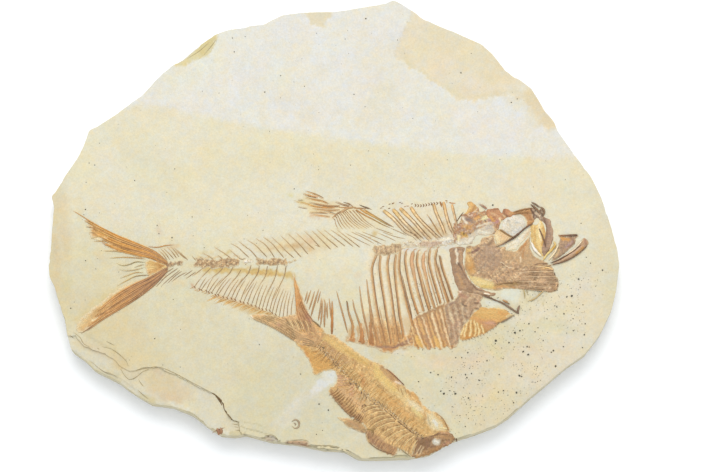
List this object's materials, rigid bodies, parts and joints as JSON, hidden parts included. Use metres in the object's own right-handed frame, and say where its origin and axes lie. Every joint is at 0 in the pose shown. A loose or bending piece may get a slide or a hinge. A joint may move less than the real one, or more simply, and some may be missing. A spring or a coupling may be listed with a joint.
{
  "type": "fossil fish slab",
  "caption": "Flat, irregular plate of pale bedded limestone with a long fossil fish skeleton and a smaller fossil fish preserved on its upper face; rests flat for display or study.",
  "frame": {"origin": "middle of the slab's bounding box, on its flat underside", "axes": "+X along the slab's length, towards the large fish's head; +Y towards the large fish's back; +Z out of the fossil face"},
  "size_m": [0.285, 0.2334, 0.015],
  "materials": {
    "limestone": "matt, split along the bedding",
    "fossil_bone": "matt to satin, mineralised bone",
    "fossil_skin": "matt, flattened skin, scales and bone"
  },
  "bodies": {
    "root": {"large_fish_anal_fin": "fossil_bone", "large_fish_dorsal_fin": "fossil_bone", "large_fish_front_rib_1": "fossil_bone", "large_fish_front_rib_2": "fossil_bone", "large_fish_front_rib_3": "fossil_bone", "large_fish_front_rib_4": "fossil_bone", "large_fish_front_rib_5": "fossil_bone", "large_fish_front_rib_6": "fossil_bone", "large_fish_front_rib_7": "fossil_bone", "large_fish_head": "fossil_bone", "large_fish_loose_rib_1": "fossil_bone", "large_fish_loose_rib_10": "fossil_bone", "large_fish_loose_rib_11": "fossil_bone", "large_fish_loose_rib_12": "fossil_bone", "large_fish_loose_rib_2": "fossil_bone", "large_fish_loose_rib_3": "fossil_bone", "large_fish_loose_rib_4": "fossil_bone", "large_fish_loose_rib_5": "fossil_bone", "large_fish_loose_rib_6": "fossil_bone", "large_fish_loose_rib_7": "fossil_bone", "large_fish_loose_rib_8": "fossil_bone", "large_fish_loose_rib_9": "fossil_bone", "large_fish_loose_spine_1": "fossil_bone", "large_fish_loose_spine_2": "fossil_bone", "large_fish_loose_spine_3": "fossil_bone", "large_fish_loose_spine_4": "fossil_bone", "large_fish_loose_spine_5": "fossil_bone", "large_fish_loose_spine_6": "fossil_bone", "large_fish_middle_backbone": "fossil_bone", "large_fish_neck_bone_1": "fossil_bone", "large_fish_neck_bone_2": "fossil_bone", "large_fish_neck_bone_3": "fossil_bone", "large_fish_neck_bone_4": "fossil_bone", "large_fish_neck_bone_5": "fossil_bone", "large_fish_neck_bone_6": "fossil_bone", "large_fish_neck_bone_7": "fossil_bone", "large_fish_neck_bone_8": "fossil_bone", "large_fish_rear_backbone": "fossil_bone", "large_fish_rib_cage": "fossil_bone", "large_fish_shoulder": "fossil_bone", "large_fish_tail_fin": "fossil_bone", "limestone_slab": "limestone", "small_fish": "fossil_skin"}
  },
  "joints": []
}
